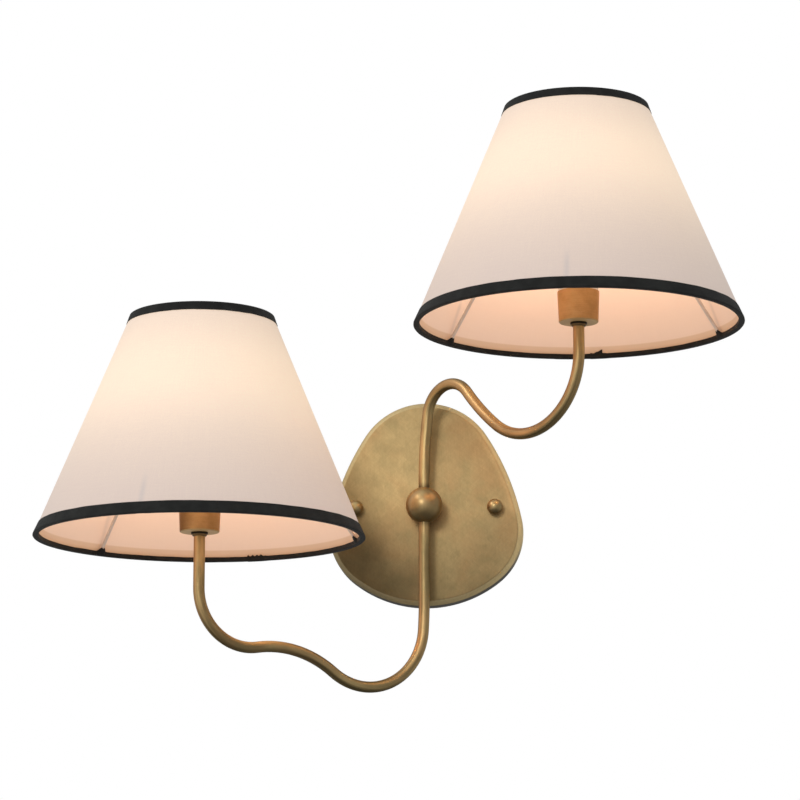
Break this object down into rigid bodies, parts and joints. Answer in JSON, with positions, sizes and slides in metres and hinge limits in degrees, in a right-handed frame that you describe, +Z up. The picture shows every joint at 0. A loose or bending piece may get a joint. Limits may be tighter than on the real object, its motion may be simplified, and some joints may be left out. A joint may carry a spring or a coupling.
{
  "type": "double arm wall sconce",
  "caption": "Wall light with an egg-shaped canopy, ball hub, two S-bent tube arms and candle lampholders in cups, each under a tape-edged empire shade.",
  "frame": {"origin": "on the wall, straight behind the ball's centre: the middle of the strap's two box screw slots, at its back face", "axes": "+X to the viewer's right along the wall, +Y into the wall, +Z up"},
  "size_m": [0.4947, 0.2521, 0.4046],
  "materials": {
    "aged_brass": "brushed brass aged to brown and olive, waxed satin",
    "aged_brass_cup": "aged brass, warmer, satin",
    "dark_collar": "blackened brass",
    "plain_brass": "plain machined brass",
    "zinc_steel": "zinc plated, dull",
    "earth_green": "green passivated screw",
    "shade_white": "fine plain weave on translucent laminate, lit from inside",
    "black_tape": "matt black binding tape, fine weave",
    "white_wire": "white powder coat",
    "holder_white": "moulded heat-proof plastic",
    "lamp_cap": "rolled nickel-plated cap",
    "lamp_glass": "clear thin glass",
    "filament": "yellow phosphor bars, lit",
    "lead_sheath": "pale heat-proof sheath",
    "connector_grey": "grey moulded plastic"
  },
  "bodies": {
    "fixture": {"canopy": "aged_brass", "crossbar": "zinc_steel", "ground_screw": "earth_green", "canopy_studs": "plain_brass", "cap_nuts": "aged_brass", "hub_ball": "aged_brass", "hub_seat": "aged_brass", "hub_nipple": "plain_brass", "hub_washer": "zinc_steel", "hub_lock_nut": "plain_brass", "lead_connectors": "connector_grey", "upper_arm": "aged_brass", "upper_lead": "lead_sheath", "upper_collar": "dark_collar", "upper_socket_cup": "aged_brass_cup", "upper_lampholder": "holder_white", "upper_screw_shell": "plain_brass", "upper_centre_contact": "plain_brass", "upper_seat_ring": "holder_white", "lower_arm": "aged_brass", "lower_lead": "lead_sheath", "lower_collar": "dark_collar", "lower_socket_cup": "aged_brass_cup", "lower_lampholder": "holder_white", "lower_screw_shell": "plain_brass", "lower_centre_contact": "plain_brass", "lower_seat_ring": "holder_white"},
    "upper_shade": {"upper_shade_cloth": "shade_white", "upper_bottom_tape": "black_tape", "upper_top_tape": "black_tape", "upper_bottom_wire": "white_wire", "upper_top_wire": "white_wire", "upper_shade_spider": "white_wire"},
    "upper_clamp_ring": {"upper_clamp_ring": "holder_white"},
    "upper_bulb": {"upper_bulb_cap": "lamp_cap", "upper_bulb_glass": "lamp_glass", "upper_bulb_filament": "filament"},
    "lower_shade": {"lower_shade_cloth": "shade_white", "lower_bottom_tape": "black_tape", "lower_top_tape": "black_tape", "lower_bottom_wire": "white_wire", "lower_top_wire": "white_wire", "lower_shade_spider": "white_wire"},
    "lower_clamp_ring": {"lower_clamp_ring": "holder_white"},
    "lower_bulb": {"lower_bulb_cap": "lamp_cap", "lower_bulb_glass": "lamp_glass", "lower_bulb_filament": "filament"}
  },
  "joints": [
    {"name": "upper_shade_turn", "type": "hinge", "parent": "fixture", "child": "upper_shade", "pos_m": [0.11535, -0.137, 0.1383], "axis": [0, 0, 1], "continuous": true},
    {"name": "upper_clamp_ring_turn", "type": "hinge", "parent": "fixture", "child": "upper_clamp_ring", "pos_m": [0.11535, -0.137, 0.1383], "axis": [0, 0, 1], "range_deg": [0, 1440]},
    {"name": "upper_bulb_turn", "type": "hinge", "parent": "fixture", "child": "upper_bulb", "pos_m": [0.11535, -0.137, 0.1383], "axis": [0, 0, 1], "range_deg": [0, 2160]},
    {"name": "lower_shade_turn", "type": "hinge", "parent": "fixture", "child": "lower_shade", "pos_m": [-0.14909, -0.137, -0.009], "axis": [0, 0, 1], "continuous": true},
    {"name": "lower_clamp_ring_turn", "type": "hinge", "parent": "fixture", "child": "lower_clamp_ring", "pos_m": [-0.14909, -0.137, -0.009], "axis": [0, 0, 1], "range_deg": [0, 1440]},
    {"name": "lower_bulb_turn", "type": "hinge", "parent": "fixture", "child": "lower_bulb", "pos_m": [-0.14909, -0.137, -0.009], "axis": [0, 0, 1], "range_deg": [0, 2160]}
  ]
}
